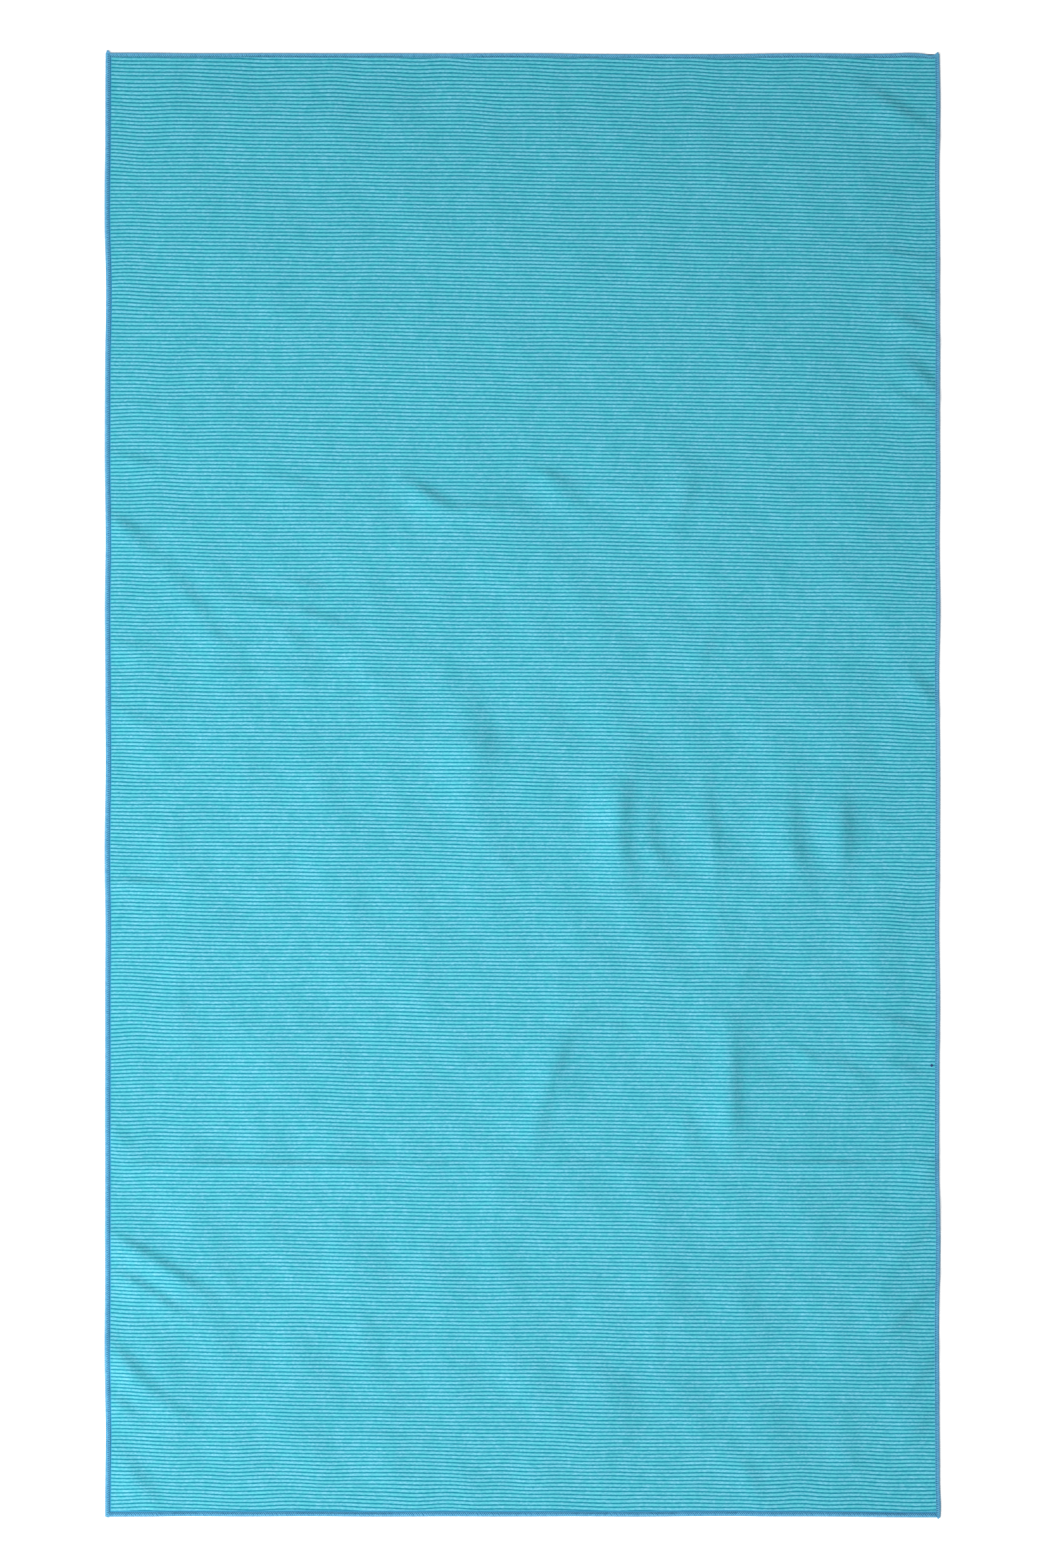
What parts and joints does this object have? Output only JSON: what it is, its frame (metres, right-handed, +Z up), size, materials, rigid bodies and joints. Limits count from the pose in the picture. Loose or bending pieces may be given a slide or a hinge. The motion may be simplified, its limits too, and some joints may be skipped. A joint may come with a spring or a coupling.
{
  "type": "quick dry towel",
  "caption": "Rectangular ribbed microfibre quick-dry towel laid flat, with narrow overlocked thread seams on all sides and small thread tails at three corners.",
  "frame": {"origin": "middle of the underside of the flat towel", "axes": "+Y along the long sides towards the top edge, +X across the towel along the ribs, +Z up out of the face"},
  "size_m": [0.8, 1.4041, 0.0019],
  "materials": {
    "ribbed_microfibre": "soft matt ribbed microfibre",
    "looper_thread": "soft textured polyester thread",
    "needle_thread": "spun polyester thread",
    "thread_tail": "chained-off thread",
    "tack_thread": "dark knotted thread"
  },
  "bodies": {
    "root": {"cloth_panel": "ribbed_microfibre", "left_needle_thread": "needle_thread", "left_upper_looper_thread": "looper_thread", "left_lower_looper_thread": "looper_thread", "right_needle_thread": "needle_thread", "right_upper_looper_thread": "looper_thread", "right_lower_looper_thread": "looper_thread", "top_needle_thread": "needle_thread", "top_upper_looper_thread": "looper_thread", "top_lower_looper_thread": "looper_thread", "bottom_needle_thread": "needle_thread", "bottom_upper_looper_thread": "looper_thread", "bottom_lower_looper_thread": "looper_thread", "top_left_thread_tail": "thread_tail", "top_right_thread_tail": "thread_tail", "bottom_right_thread_tail": "thread_tail", "right_edge_thread_tack": "tack_thread"}
  },
  "joints": []
}
